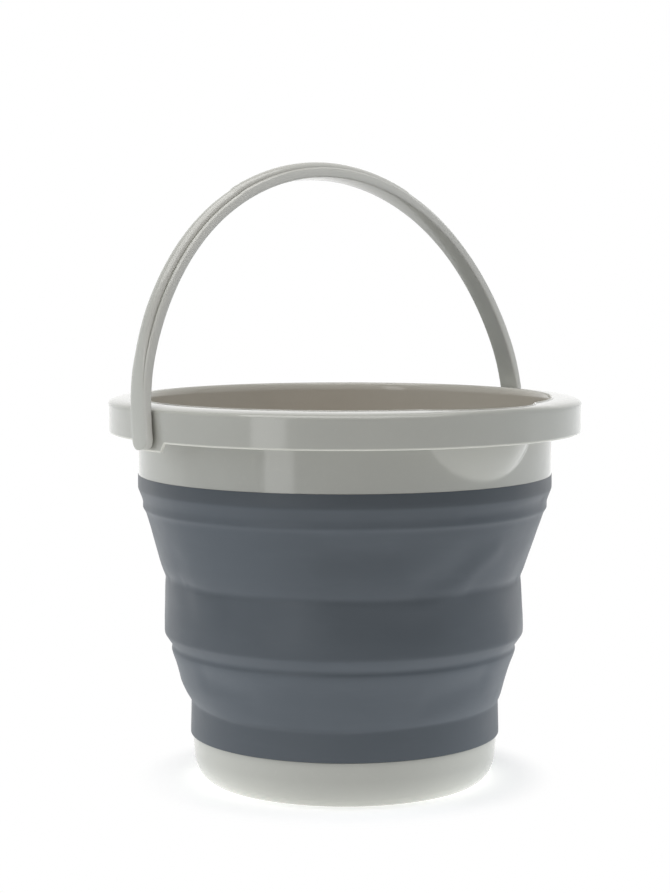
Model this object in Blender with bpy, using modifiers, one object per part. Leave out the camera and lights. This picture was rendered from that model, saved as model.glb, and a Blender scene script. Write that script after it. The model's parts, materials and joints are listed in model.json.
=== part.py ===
"""Collapsible camp bucket: a rigid rim and base, a soft bellows wall that folds in two steps, and a bail.

Metres, +Z up. The origin is on the table under the middle of the base, the bail turns about
a line along X, and the pouring lip faces -Y.
"""

import math

import bmesh
import bpy
from mathutils import Matrix, Vector

# Heights of the stacked rings, from the table up
BASE_CUP_HEIGHT = 0.0307
LOWER_COLLAR_HEIGHT = 0.0232
LOWER_WEB_HEIGHT = 0.0359
MIDDLE_RING_HEIGHT = 0.0451
UPPER_WEB_HEIGHT = 0.0577
UPPER_COLLAR_HEIGHT = 0.0107
BAND_HEIGHT = 0.0508

# Clearances
SEAT_GAP = 0.0003
CUT_OVERRUN = 0.0050
JOIN_OVERLAP = 0.0006

# Rim ring
MOUTH_RADIUS = 0.1349
RIM_WALL = 0.0020
BAND_DRAFT = 0.0008
FLANGE_WIDTH = 0.0181
FLANGE_FALL = 0.0017
FLANGE_CORNER_RADIUS = 0.0028
SKIRT_DROP = 0.0228
EDGE_RADIUS = 0.0007
LAP_HEIGHT = 0.0080

# Ears on the skirt that carry the bail
EAR_DROP = 0.0042
EAR_HALF_WIDTH = 0.0128
EAR_RAMP = 0.0038
PIVOT_BELOW_LIP = 0.0181
PIVOT_BEHIND_CENTRE = 0.0042
STUD_RADIUS = 0.0032
STUD_CLEARANCE = 0.0003

# Pouring lip: the bulge in the band, as an ellipsoid around a point at the height of the lip
SPOUT_REACH = 0.0150
SPOUT_DROP = 0.0460
SPOUT_HALF_WIDTH = 0.0500
SPOUT_BULGE = 0.0400

# Bellows
BELLOWS_WALL = 0.0020
MIDDLE_RING_RADIUS = 0.1189
MIDDLE_RING_TAPER = 0.0012
MIDDLE_BEVEL_HEIGHT = 0.0098
MIDDLE_BEVEL_DEPTH = 0.0030
LOWER_COLLAR_RADIUS = 0.1026

# Base cup
BASE_STEP = 0.0013
BASE_DRAFT = 0.0008
BASE_WALL = 0.0020
BASE_FOOT_RADIUS = 0.0880
BASE_ROUND_HEIGHT = 0.0200
FOOT_WIDTH = 0.0060
FOOT_RECESS = 0.0012
TONGUE_HEIGHT = 0.0150
TONGUE_WALL = 0.0016

# Bail
BAIL_SIDE_CLEARANCE = 0.0027
BAIL_FRONT_CLEARANCE = 0.0024
BAIL_WIDTH = 0.0158
BAIL_EDGE = 0.0006
LEG_STRIP = 0.0055
LEG_CROWN = 0.0048
GRIP_STRIP = 0.0067
GRIP_CROWN = 0.0043
CROWN_WIDTH = 0.0110
CROWN_START = 0.0200
CROWN_FULL = 0.0780
GRIP_HALF_LENGTH = 0.0680
GRIP_RAMP = 0.0035
PADDLE_THICKNESS = 0.0042
PADDLE_CROWN = 0.0008
PADDLE_WIDTH = 0.0174
PADDLE_BELOW_PIVOT = 0.0092
PADDLE_ROUND = 0.0062
PADDLE_TOP = 0.0040
LEG_START = 0.0450
BARB_RADIUS = 0.0044
BARB_TIP_RADIUS = 0.0030
BARB_LENGTH = 0.0030
BARB_CLEARANCE = 0.0004
BARB_SLOT = 0.0014
BAIL_LEAN = math.radians(7.3)
# The arch is a superellipse of this power: 2 is an ellipse, and less is more pointed
ARCH_POWER = 1.98

# Facets round every turned piece, so that neighbouring walls stay parallel
TURN_STEPS = 72
STUD_STEPS = 24
ARCH_STEPS = 26
CROWN_STEPS = 6
ROUND_STEPS = 3
MERGE = 1e-6

# Levels of the stack
BASE_TOP = BASE_CUP_HEIGHT
LOWER_WEB_FOOT = BASE_TOP + LOWER_COLLAR_HEIGHT
MIDDLE_FOOT = LOWER_WEB_FOOT + LOWER_WEB_HEIGHT
UPPER_WEB_FOOT = MIDDLE_FOOT + MIDDLE_RING_HEIGHT
UPPER_COLLAR_FOOT = UPPER_WEB_FOOT + UPPER_WEB_HEIGHT
BAND_FOOT = UPPER_COLLAR_FOOT + UPPER_COLLAR_HEIGHT
LIP_TOP = BAND_FOOT + BAND_HEIGHT
FLANGE_TOP = LIP_TOP - FLANGE_FALL
SKIRT_FOOT = LIP_TOP - SKIRT_DROP
PIVOT_HEIGHT = LIP_TOP - PIVOT_BELOW_LIP

# Radii that follow from the ones above
BAND_TOP_RADIUS = MOUTH_RADIUS + RIM_WALL
BAND_FOOT_RADIUS = BAND_TOP_RADIUS - BAND_DRAFT
FLANGE_RADIUS = BAND_TOP_RADIUS + FLANGE_WIDTH
SKIRT_INSIDE = FLANGE_RADIUS - RIM_WALL
VALLEY_RADIUS = MIDDLE_RING_RADIUS - MIDDLE_RING_TAPER
MIDDLE_FOOT_RADIUS = MIDDLE_RING_RADIUS - MIDDLE_BEVEL_DEPTH
BASE_TOP_RADIUS = LOWER_COLLAR_RADIUS - BASE_STEP
TONGUE_RADIUS = LOWER_COLLAR_RADIUS - BELLOWS_WALL - SEAT_GAP
BAIL_HALF_SPAN = FLANGE_RADIUS + BAIL_SIDE_CLEARANCE
BAIL_RISE = FLANGE_RADIUS + PIVOT_BEHIND_CENTRE + BAIL_FRONT_CLEARANCE

# Colours, roughness: the rigid plastic and the soft rubber-like plastic of the bellows
PALE_PLASTIC = ((0.52, 0.51, 0.47, 1.0), 0.35)
BELLOWS_GREY = ((0.075, 0.083, 0.095, 1.0), 0.55)

# Outlines of the two folding webs, from foot to top: share of the height, share of the way out
UPPER_WEB_SHARES = ((0.0, 0.0), (0.33, 0.27), (0.60, 0.51), (0.70, 0.66), (0.80, 0.78), (0.86, 0.85), (1.0, 1.0))
LOWER_WEB_SHARES = ((0.0, 0.0), (0.24, 0.27), (0.50, 0.52), (0.75, 0.76), (0.90, 0.91), (1.0, 1.0))


def clear_scene():
    for obj in list(bpy.data.objects):
        bpy.data.objects.remove(obj, do_unlink=True)


def new_collection(name):
    collection = bpy.data.collections.new(name)
    bpy.context.scene.collection.children.link(collection)
    return collection


def plastic(name, look):
    colour, roughness = look
    material = bpy.data.materials.new(name)
    material.use_nodes = True
    shader = material.node_tree.nodes["Principled BSDF"]
    shader.inputs["Base Color"].default_value = colour
    shader.inputs["Roughness"].default_value = roughness
    shader.inputs["Metallic"].default_value = 0.0
    return material


def add_object(name, bm, collection):
    """The mesh being built as an object of its own."""
    mesh = bpy.data.meshes.new(name)
    bm.to_mesh(mesh)
    bm.free()
    obj = bpy.data.objects.new(name, mesh)
    collection.objects.link(obj)
    return obj


def outline_mesh(points, closed):
    bm = bmesh.new()
    verts = [bm.verts.new(point) for point in points]
    for first, second in zip(verts, verts[1:]):
        bm.edges.new((first, second))
    if closed:
        bm.edges.new((verts[-1], verts[0]))
    return bm


def turned(name, outline, collection, closed=True):
    """An outline of (radius, height) turned about Z. It runs out over the top and down the outer side."""
    bm = outline_mesh([(radius, 0.0, height) for radius, height in outline], closed)
    obj = add_object(name, bm, collection)
    screw = obj.modifiers.new("Turn", "SCREW")
    screw.axis = "Z"
    screw.angle = math.tau
    screw.steps = TURN_STEPS
    screw.render_steps = TURN_STEPS
    screw.use_merge_vertices = True
    screw.merge_threshold = MERGE
    screw.use_smooth_shade = True
    return obj


def corner(centre, radius, start, end):
    """Points of a rounded corner, at angles in degrees from straight out."""
    turn = [math.radians(start + (end - start) * step / ROUND_STEPS) for step in range(ROUND_STEPS + 1)]
    return [(centre[0] + radius * math.cos(a), centre[1] + radius * math.sin(a)) for a in turn]


def smooth(share):
    """0 to 1 with a level start and end."""
    share = min(max(share, 0.0), 1.0)
    return share * share * (3.0 - 2.0 * share)


def boolean(obj, other, operation):
    other.hide_render = True
    other.display_type = "WIRE"
    modifier = obj.modifiers.new(operation.title(), "BOOLEAN")
    modifier.operation = operation
    modifier.solver = "EXACT"
    modifier.object = other


def box(name, low, high, collection):
    bm = bmesh.new()
    bmesh.ops.create_cube(bm, size=1.0)
    low, high = Vector(low), Vector(high)
    for vert in bm.verts:
        vert.co = (low + high) / 2.0 + vert.co * (high - low)
    return add_object(name, bm, collection)


def wall_between(name, outer, wall, collection):
    """A turned wall of even thickness inside an outer line that runs from foot to top."""
    inner = [(radius - wall, height) for radius, height in outer]
    return turned(name, inner + outer[::-1], collection)


def spout_body(name, shrink, collection):
    """The pouring lip as an ellipsoid, smaller all round by shrink."""
    centre = MOUTH_RADIUS + SPOUT_REACH - SPOUT_BULGE
    at_foot = math.sqrt(1 - ((BAND_FOOT_RADIUS - centre) / SPOUT_BULGE) ** 2)
    at_lip = math.sqrt(BAND_TOP_RADIUS**2 - SPOUT_HALF_WIDTH**2)
    at_side = math.sqrt(1 - ((at_lip - centre) / SPOUT_BULGE) ** 2)
    size = Vector((SPOUT_HALF_WIDTH / at_side, SPOUT_BULGE, SPOUT_DROP / at_foot))
    bm = bmesh.new()
    bmesh.ops.create_uvsphere(bm, u_segments=36, v_segments=28, radius=1.0)
    for vert in bm.verts:
        vert.co = Vector(vert.co[i] * (size[i] - shrink) for i in range(3)) + Vector((0.0, -centre, LIP_TOP))
    return add_object(name, bm, collection)


def ear_band(cutters):
    """The lower edge of the skirt round both pivots, a little deeper than the rest."""
    foot, top = SKIRT_FOOT - EAR_DROP, SKIRT_FOOT + 2.0 * JOIN_OVERLAP + EDGE_RADIUS
    inside, outside = SKIRT_INSIDE + JOIN_OVERLAP / 2.0, FLANGE_RADIUS - JOIN_OVERLAP / 2.0
    ring = turned("ear_band", [(inside, foot), (inside, top), (outside, top), (outside, foot)], cutters)
    half, reach = EAR_HALF_WIDTH, FLANGE_RADIUS + CUT_OVERRUN
    bm = bmesh.new()
    rows = []
    for x in (-reach, reach):
        corners = ((-half, foot - CUT_OVERRUN), (half, foot - CUT_OVERRUN), (half, foot), (half + EAR_RAMP, top))
        corners += ((half + EAR_RAMP, top + CUT_OVERRUN), (-half - EAR_RAMP, top + CUT_OVERRUN))
        corners += ((-half - EAR_RAMP, top), (-half, foot))
        rows.append([bm.verts.new((x, PIVOT_BEHIND_CENTRE + y, z)) for y, z in corners])
    bm.faces.new(rows[0])
    bm.faces.new(rows[1][::-1])
    for i in range(len(rows[0])):
        j = (i + 1) % len(rows[0])
        bm.faces.new((rows[0][j], rows[0][i], rows[1][i], rows[1][j]))
    bmesh.ops.recalc_face_normals(bm, faces=bm.faces)
    boolean(ring, add_object("ear_outline", bm, cutters), "INTERSECT")
    return ring


def stud_holes(cutters):
    """Both bearing holes through the skirt. They stop short of the band."""
    bm = bmesh.new()
    middle = (SKIRT_INSIDE + FLANGE_RADIUS) / 2.0
    for side in (-1.0, 1.0):
        place = Matrix.Translation((side * middle, PIVOT_BEHIND_CENTRE, PIVOT_HEIGHT))
        bmesh.ops.create_cone(
            bm,
            cap_ends=True,
            segments=STUD_STEPS,
            radius1=STUD_RADIUS + STUD_CLEARANCE,
            radius2=STUD_RADIUS + STUD_CLEARANCE,
            depth=RIM_WALL + CUT_OVERRUN,
            matrix=place @ Matrix.Rotation(math.pi / 2.0, 4, "Y"),
        )
    return add_object("stud_holes", bm, cutters)


def rim_ring(parts, cutters, material):
    """Mouth band, flange and hanging skirt in one moulding, with the pouring lip and the two ears."""
    lap_inside = BAND_FOOT_RADIUS - RIM_WALL / 2.0
    lap_top = BAND_FOOT + LAP_HEIGHT + SEAT_GAP
    lip = RIM_WALL / 2.0
    rise = FLANGE_TOP - FLANGE_CORNER_RADIUS
    under = rise + FLANGE_CORNER_RADIUS - RIM_WALL
    outline = [(MOUTH_RADIUS - BAND_DRAFT, lap_top), (MOUTH_RADIUS, LIP_TOP - lip)]
    outline += corner((MOUTH_RADIUS + lip, LIP_TOP - lip), lip, 180.0, 70.0)[1:]
    outline += corner((FLANGE_RADIUS - FLANGE_CORNER_RADIUS, rise), FLANGE_CORNER_RADIUS, 85.0, 0.0)
    outline += corner((FLANGE_RADIUS - EDGE_RADIUS, SKIRT_FOOT + EDGE_RADIUS), EDGE_RADIUS, 0.0, -90.0)
    outline += corner((SKIRT_INSIDE + EDGE_RADIUS, SKIRT_FOOT + EDGE_RADIUS), EDGE_RADIUS, -90.0, -180.0)
    outline += [(SKIRT_INSIDE, under - EDGE_RADIUS), (SKIRT_INSIDE - EDGE_RADIUS, under)]
    outline += [(BAND_TOP_RADIUS + EDGE_RADIUS, under), (BAND_TOP_RADIUS, under - EDGE_RADIUS)]
    outline += [(BAND_FOOT_RADIUS, BAND_FOOT), (lap_inside, BAND_FOOT), (lap_inside, lap_top)]
    ring = turned("rim_ring", outline, parts)
    ring.data.materials.append(material)

    shell = spout_body("spout_outside", 0.0, cutters)
    hollow = spout_body("spout_inside", RIM_WALL, cutters)
    reach, foot = FLANGE_RADIUS + CUT_OVERRUN, BAND_FOOT - CUT_OVERRUN
    room = box("spout_room", (-reach, -reach, foot), (reach, 0.0, under + RIM_WALL / 2.0), cutters)
    inner, above, below = BAND_FOOT_RADIUS - RIM_WALL / 4.0, LIP_TOP + CUT_OVERRUN, foot - CUT_OVERRUN
    core = turned("spout_core", [(0.0, above), (inner, above), (inner, below), (0.0, below)], cutters, False)
    boolean(shell, room, "INTERSECT")
    boolean(shell, core, "DIFFERENCE")
    boolean(ring, shell, "UNION")
    boolean(ring, hollow, "DIFFERENCE")
    boolean(ring, ear_band(cutters), "UNION")
    boolean(ring, stud_holes(cutters), "DIFFERENCE")
    return ring


def upper_collar(parts, material):
    """The soft ring bonded under the band, with a lap that runs up inside it."""
    outside = BAND_FOOT_RADIUS
    seat, lap_top = BAND_FOOT - SEAT_GAP, BAND_FOOT + LAP_HEIGHT
    lap = outside - RIM_WALL / 2.0 - SEAT_GAP
    inside = outside - BELLOWS_WALL - SEAT_GAP
    foot = UPPER_COLLAR_FOOT + SEAT_GAP / 2.0
    outline = [(inside, foot), (inside, lap_top), (lap, lap_top), (lap, seat), (outside, seat), (outside, foot)]
    obj = turned("bellows_upper_collar", outline, parts)
    obj.data.materials.append(material)
    return obj


def folding_web(name, foot, height, radii, shares, parts, material):
    """A sloping wall of the bellows between two rings. It turns inside out as the bucket folds."""
    low, high = radii
    bottom, rise = foot + SEAT_GAP / 2.0, height - SEAT_GAP
    outer = [(low + (high - low) * out, bottom + rise * up) for up, out in shares]
    obj = wall_between(name, outer, BELLOWS_WALL, parts)
    obj.data.materials.append(material)
    return obj


def middle_ring(parts, material):
    """The stiff ring of the bellows: slightly bulged, with a bevel and a groove below."""
    foot = MIDDLE_FOOT + SEAT_GAP / 2.0
    top = UPPER_WEB_FOOT - SEAT_GAP / 2.0
    bevel_top = foot + MIDDLE_BEVEL_HEIGHT
    widest = bevel_top + (top - bevel_top) / 4.0
    outer = [(MIDDLE_FOOT_RADIUS, foot), (MIDDLE_RING_RADIUS, bevel_top)]
    outer += [(MIDDLE_RING_RADIUS, widest), (VALLEY_RADIUS, top)]
    obj = wall_between("bellows_middle_ring", outer, BELLOWS_WALL, parts)
    obj.data.materials.append(material)
    return obj


def lower_collar(parts, material):
    """The soft ring bonded round the tongue of the base cup."""
    foot = BASE_TOP + SEAT_GAP
    top = LOWER_WEB_FOOT - SEAT_GAP / 2.0
    outer = [(LOWER_COLLAR_RADIUS, foot), (LOWER_COLLAR_RADIUS, top)]
    obj = wall_between("bellows_lower_collar", outer, BELLOWS_WALL, parts)
    obj.data.materials.append(material)
    return obj


def base_cup(parts, material):
    """The rigid bottom: a rounded cup on a foot ring, with a thin tongue inside the soft collar."""
    tongue_top = BASE_TOP + TONGUE_HEIGHT
    tongue_inside = TONGUE_RADIUS - TONGUE_WALL
    low_radius = BASE_TOP_RADIUS - BASE_DRAFT
    floor = FOOT_RECESS + BASE_WALL
    run = low_radius - BASE_FOOT_RADIUS
    turns = [math.radians(90.0 * step / (2 * ROUND_STEPS)) for step in range(2 * ROUND_STEPS + 1)]
    rounding = [
        (BASE_FOOT_RADIUS + run * math.cos(a), BASE_ROUND_HEIGHT * (1.0 - math.sin(a))) for a in turns
    ]
    wall_inside = min(low_radius - BASE_WALL, tongue_inside)
    inner_run = wall_inside - BASE_FOOT_RADIUS
    hollow = [
        (BASE_FOOT_RADIUS + inner_run * math.cos(a), floor + BASE_ROUND_HEIGHT * (1.0 - math.sin(a)))
        for a in turns[::-1]
    ]
    outline = [(0.0, floor)] + hollow + [(tongue_inside, BASE_TOP)]
    outline += [(tongue_inside, tongue_top), (TONGUE_RADIUS, tongue_top), (TONGUE_RADIUS, BASE_TOP)]
    outline += [(BASE_TOP_RADIUS, BASE_TOP)] + rounding
    outline += [(BASE_FOOT_RADIUS - FOOT_WIDTH, 0.0), (BASE_FOOT_RADIUS - FOOT_WIDTH - FOOT_RECESS, FOOT_RECESS)]
    outline += [(0.0, FOOT_RECESS)]
    obj = turned("base_cup", outline, parts, closed=False)
    obj.data.materials.append(material)
    return obj


def bail_section(strip, crown, crown_width, width):
    """Half-round crown on a wider strip: (across, outward) points."""
    half = width / 2.0
    edge = BAIL_EDGE * min(1.0, width / BAIL_WIDTH)
    side = [(-half + edge, 0.0), (-half, edge), (-half, strip - edge), (-half + edge, strip)]
    turns = [math.pi * (1.0 - turn / CROWN_STEPS) for turn in range(CROWN_STEPS + 1)]
    top = [(crown_width / 2.0 * math.cos(a), strip + crown * math.sin(a)) for a in turns]
    return side + top + [(-across, out) for across, out in side[::-1]]


def bail_stations():
    """Points up one leg to the crown of the arch: (x, height over the pivot, outward direction)."""
    turns = [math.pi / 2.0 * step / (2 * ROUND_STEPS) for step in range(2 * ROUND_STEPS + 1)]
    rounding = [PADDLE_ROUND * (1.0 - math.cos(turn)) - PADDLE_BELOW_PIVOT for turn in turns]
    stations = [((-BAIL_HALF_SPAN, height), (-1.0, 0.0)) for height in rounding]
    angles = [math.pi / 2.0 * step / ARCH_STEPS for step in range(ARCH_STEPS + 1)]
    ramp = (GRIP_HALF_LENGTH, GRIP_HALF_LENGTH + GRIP_RAMP)
    angles += [math.acos((x / BAIL_HALF_SPAN) ** (ARCH_POWER / 2.0)) for x in ramp]
    for angle in sorted(angles)[:-1]:
        across, up = math.cos(angle), math.sin(angle)
        place = (-BAIL_HALF_SPAN * across ** (2.0 / ARCH_POWER), BAIL_RISE * up ** (2.0 / ARCH_POWER))
        slope = 2.0 - 2.0 / ARCH_POWER
        out = Vector((-(across**slope) / BAIL_HALF_SPAN, up**slope / BAIL_RISE)).normalized()
        stations.append((place, tuple(out)))
    return stations + [((0.0, BAIL_RISE), (0.0, 1.0))]


def bail_sizes(x, height):
    """Strip, crown, crown width and width of the bail at one place along it."""
    leg = smooth((height - PADDLE_TOP) / (LEG_START - PADDLE_TOP))
    grip = smooth((GRIP_HALF_LENGTH + GRIP_RAMP - abs(x)) / GRIP_RAMP)
    rounding = smooth((height - CROWN_START) / (CROWN_FULL - CROWN_START))
    strip = PADDLE_THICKNESS + (LEG_STRIP - PADDLE_THICKNESS) * leg + (GRIP_STRIP - LEG_STRIP) * grip
    crown = PADDLE_CROWN + (LEG_CROWN - PADDLE_CROWN) * rounding + (GRIP_CROWN - LEG_CROWN) * grip
    width = PADDLE_WIDTH + (BAIL_WIDTH - PADDLE_WIDTH) * leg
    short = max(PADDLE_ROUND - PADDLE_BELOW_PIVOT - height, 0.0)
    width -= 2.0 * (PADDLE_ROUND - math.sqrt(PADDLE_ROUND**2 - short**2))
    face = width * (1 - 3 * BAIL_EDGE / BAIL_WIDTH)
    return strip, crown, face + (CROWN_WIDTH - face) * rounding, width


def snap_studs(cutters):
    """The stud of each paddle: a journal through the ear and a split barb behind it, turned about X."""
    seat = BAIL_HALF_SPAN + JOIN_OVERLAP
    shoulder = SKIRT_INSIDE - BARB_CLEARANCE
    tip = shoulder - BARB_LENGTH
    rim = shoulder - BARB_LENGTH / 6.0
    outline = [(seat, 0.0), (seat, STUD_RADIUS), (shoulder, STUD_RADIUS), (shoulder, BARB_RADIUS)]
    outline += [(rim, BARB_RADIUS), (tip, BARB_TIP_RADIUS), (tip, 0.0)]
    half = add_object("snap_stud", outline_mesh([(x, 0.0, r) for x, r in outline], False), cutters)
    screw = half.modifiers.new("Turn", "SCREW")
    screw.axis = "X"
    screw.angle = math.tau
    screw.steps = STUD_STEPS
    screw.render_steps = STUD_STEPS
    screw.use_merge_vertices = True
    screw.merge_threshold = MERGE
    slot = BARB_SLOT / 2.0
    reach = BARB_RADIUS + CUT_OVERRUN
    cut = box("barb_slot", (tip - CUT_OVERRUN, -reach, -slot), (FLANGE_RADIUS, reach, slot), cutters)
    boolean(half, cut, "DIFFERENCE")
    mirror = half.modifiers.new("Other side", "MIRROR")
    mirror.use_axis = (True, False, False)
    mirror.use_mirror_merge = False
    half.hide_render = True
    half.display_type = "WIRE"
    return half


def bail_handle(parts, cutters, material):
    """The bail, lofted up one leg and mirrored, on the empty that is its hinge."""
    hinge = bpy.data.objects.new("bail_hinge", None)
    parts.objects.link(hinge)
    hinge.location = (0.0, PIVOT_BEHIND_CENTRE, PIVOT_HEIGHT)
    hinge.rotation_euler = (-BAIL_LEAN, 0.0, 0.0)
    bm = bmesh.new()
    rows = []
    for (x, height), (out_x, out_z) in bail_stations():
        section = bail_section(*bail_sizes(x, height))
        rows.append([bm.verts.new((x + out_x * out, across, height + out_z * out)) for across, out in section])
    for low, high in zip(rows, rows[1:]):
        for i in range(len(low)):
            j = (i + 1) % len(low)
            bm.faces.new((low[i], low[j], high[j], high[i]))
    bm.faces.new(rows[0])
    bmesh.ops.recalc_face_normals(bm, faces=bm.faces)
    bail = add_object("bail_handle", bm, parts)
    bail.parent = hinge
    mirror = bail.modifiers.new("Other leg", "MIRROR")
    mirror.use_axis = (True, False, False)
    mirror.merge_threshold = MERGE
    bail.data.materials.append(material)
    studs = snap_studs(cutters)
    studs.parent = hinge
    boolean(bail, studs, "UNION")
    return bail


def main():
    clear_scene()
    parts = new_collection("collapsible_bucket")
    cutters = new_collection("cutters")
    pale = plastic("pale_plastic", PALE_PLASTIC)
    grey = plastic("bellows_grey", BELLOWS_GREY)
    upper_radii = (VALLEY_RADIUS, BAND_FOOT_RADIUS)
    lower_radii = (LOWER_COLLAR_RADIUS, MIDDLE_FOOT_RADIUS)
    base_cup(parts, pale)
    lower_collar(parts, grey)
    folding_web("lower_fold_web", LOWER_WEB_FOOT, LOWER_WEB_HEIGHT, lower_radii, LOWER_WEB_SHARES, parts, grey)
    middle_ring(parts, grey)
    folding_web("upper_fold_web", UPPER_WEB_FOOT, UPPER_WEB_HEIGHT, upper_radii, UPPER_WEB_SHARES, parts, grey)
    upper_collar(parts, grey)
    rim_ring(parts, cutters, pale)
    bail_handle(parts, cutters, pale)
    for obj in parts.objects:
        if obj.type == "MESH":
            obj.data.shade_smooth()
            obj.data.set_sharp_from_angle(angle=math.radians(35.0))


main()
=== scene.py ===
import json
import math

import bmesh
import bpy
import numpy as np
from bpy.props import FloatProperty, FloatVectorProperty, PointerProperty
from mathutils import Matrix, Vector


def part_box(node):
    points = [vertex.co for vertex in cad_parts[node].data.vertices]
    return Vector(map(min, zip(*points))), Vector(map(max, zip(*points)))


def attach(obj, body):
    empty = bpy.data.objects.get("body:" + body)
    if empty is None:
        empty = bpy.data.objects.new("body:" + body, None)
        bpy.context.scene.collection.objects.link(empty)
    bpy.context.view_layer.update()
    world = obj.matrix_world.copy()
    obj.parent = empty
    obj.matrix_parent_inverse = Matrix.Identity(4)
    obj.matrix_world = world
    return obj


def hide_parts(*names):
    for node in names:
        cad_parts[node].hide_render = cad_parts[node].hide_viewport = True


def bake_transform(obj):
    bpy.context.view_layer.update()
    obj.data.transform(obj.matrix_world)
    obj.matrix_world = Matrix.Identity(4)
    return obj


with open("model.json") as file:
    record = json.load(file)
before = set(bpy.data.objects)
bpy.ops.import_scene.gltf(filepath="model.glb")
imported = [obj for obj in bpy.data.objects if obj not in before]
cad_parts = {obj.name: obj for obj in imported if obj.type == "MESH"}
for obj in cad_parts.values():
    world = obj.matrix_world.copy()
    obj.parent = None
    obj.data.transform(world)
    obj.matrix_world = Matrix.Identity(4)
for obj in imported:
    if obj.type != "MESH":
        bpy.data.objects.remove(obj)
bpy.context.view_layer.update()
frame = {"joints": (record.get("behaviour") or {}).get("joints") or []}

bl_info = {
    "name": "Collapsible Camp Bucket",
    "version": (1, 0, 0),
    "blender": (4, 5, 0),
    "location": "3D View > Sidebar > Bucket",
    "description": "Builds a folding camp bucket with its bellows, rim, base and bail round a packed frame",
    "category": "Add Mesh",
}

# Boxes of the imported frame, which give the sizes their defaults
_, RIM_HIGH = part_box("rim_ring")
_, BASE_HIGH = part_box("base_cup")
COLLAR_LOW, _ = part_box("bellows_lower_collar")
BAIL_HINGE = [joint for joint in frame["joints"] if joint["name"] == "bail_swing"][0]

MM = 0.001

# Room between pieces that sit against each other, and the distance at which points are merged
SEAT_GAP = 0.0003
MERGE = 1e-6

# Angle in degrees from which a corner is left sharp
SHARP = 35.0

# Height in mm that the bellows' painted light and shade is measured against
KNOWN_HEIGHT = 250.0

CAMERA_AZIMUTH = math.radians(-40.0)
WHITE = (1.0, 1.0, 1.0, 1.0)


def length(name, description, default):
    return FloatProperty(
        name=name, description=description, default=default, min=0.0,
        subtype="DISTANCE", unit="LENGTH", precision=5,
    )


def colour(name, description, default):
    return FloatVectorProperty(
        name=name, description=description, default=default, size=3, min=0.0, max=1.0, subtype="COLOR"
    )


def share(name, description, default, high=1.0):
    return FloatProperty(
        name=name, description=description, default=default, min=0.0, max=high, subtype="FACTOR"
    )


def amount(name, description, default):
    return FloatProperty(name=name, description=description, default=default, min=0.0)


def turning(name, description, default):
    return FloatProperty(name=name, description=description, default=default, subtype="ANGLE")


class BucketRimSizes(bpy.types.PropertyGroup):
    """Sizes of the rim moulding"""

    lip_top: length("Lip top", "Height of the lip", RIM_HIGH.z)
    flange_radius: length("Flange radius", "Outer radius of the flange and skirt", RIM_HIGH.x)
    mouth_radius: length("Mouth radius", "Inner radius of the band under the lip", 0.1349)
    wall: length("Wall", "Wall of the rigid plastic", 0.0020)
    band_draft: length("Band draft", "How much narrower the band is at its foot", 0.0008)
    band_foot: length("Band foot", "Height of the band's lower edge", 0.2033)
    lap: length("Lap", "Height of the bellows' lap inside the band", 0.0080)
    flange_fall: length("Flange fall", "How far the flange lies below the lip", 0.0017)
    shoulder: length("Shoulder", "Height of the flange's rounded fall from the lip to the skirt", 0.0046)
    lip_width: length("Lip width", "Width of the lip's rounded inner edge", 0.0024)
    lip_height: length("Lip height", "Height of the lip's rounded inner edge", 0.0052)
    lip_edge: length("Lip edge", "Radius of the lip's outer edge", 0.0007)
    skirt_drop: length("Skirt drop", "Height from the lip to the skirt's lower edge", 0.0228)
    edge: length("Edge", "Radius of the skirt's edges", 0.0007)
    swell: length("Swell", "How far the skirt stands outside the plain solid's", 0.0005)
    # Painted highlight: a strip of this height along the skirt's foot gets a lighter colour that stands for
    # a bright line of light there
    painted_highlight_strip: length("Thin strip", "Height of the lighter strip along the skirt's foot", 0.0012)
    ear_drop: length("Ear drop", "How far the ears reach below the skirt", 0.0056)
    ear_half_width: length("Ear half width", "Half the width of an ear", 0.0128)
    ear_ramp: length("Ear ramp", "Width of the slanted end of an ear", 0.0038)
    spout_reach: length("Spout reach", "How far the pouring lip stands out", 0.0150)
    spout_drop: length("Spout drop", "Height of the pouring lip's bulge", 0.0460)
    spout_half_width: length("Spout half width", "Half the width of the pouring lip", 0.0488)
    spout_bulge: length("Spout bulge", "Depth of the ellipsoid that forms the pouring lip", 0.0400)
    crease: length("Crease", "Softness of the line where the pouring lip leaves the band", 0.0007)


class BucketBellowsSizes(bpy.types.PropertyGroup):
    """Sizes of the bellows moulding"""

    wall: length("Wall", "Wall of the soft plastic", 0.0020)
    seam: length("Seam", "Height of the joint hidden in the groove under the middle ring", 0.0888)
    softness: length("Softness", "How far the corners of the outline are rounded", 0.0006)
    unevenness: share("Unevenness", "How strongly the soft wall is dented and creased", 1.0, high=3.0)


class BucketBaseSizes(bpy.types.PropertyGroup):
    """Sizes of the base cup"""

    top: length("Top", "Height of the cup's outer edge", COLLAR_LOW.z - SEAT_GAP)
    top_radius: length("Top radius", "Outer radius at the top", 0.1013)
    draft: length("Draft", "How much narrower the cup is at the start of its rounding", 0.0008)
    wall: length("Wall", "Wall of the cup", 0.0020)
    foot_radius: length("Foot radius", "Outer radius of the foot ring", 0.0880)
    rounding: length("Rounding", "Height of the rounded lower edge", 0.0200)
    foot_width: length("Foot width", "Width of the foot ring", 0.0060)
    foot_recess: length("Foot recess", "How far the middle of the underside is set up", 0.0012)
    tongue_radius: length("Tongue radius", "Outer radius of the tongue inside the bellows", 0.1003)
    tongue_wall: length("Tongue wall", "Wall of the tongue", 0.0016)
    tongue_height: length("Tongue height", "Height of the tongue", BASE_HIGH.z - COLLAR_LOW.z + SEAT_GAP)


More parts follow.
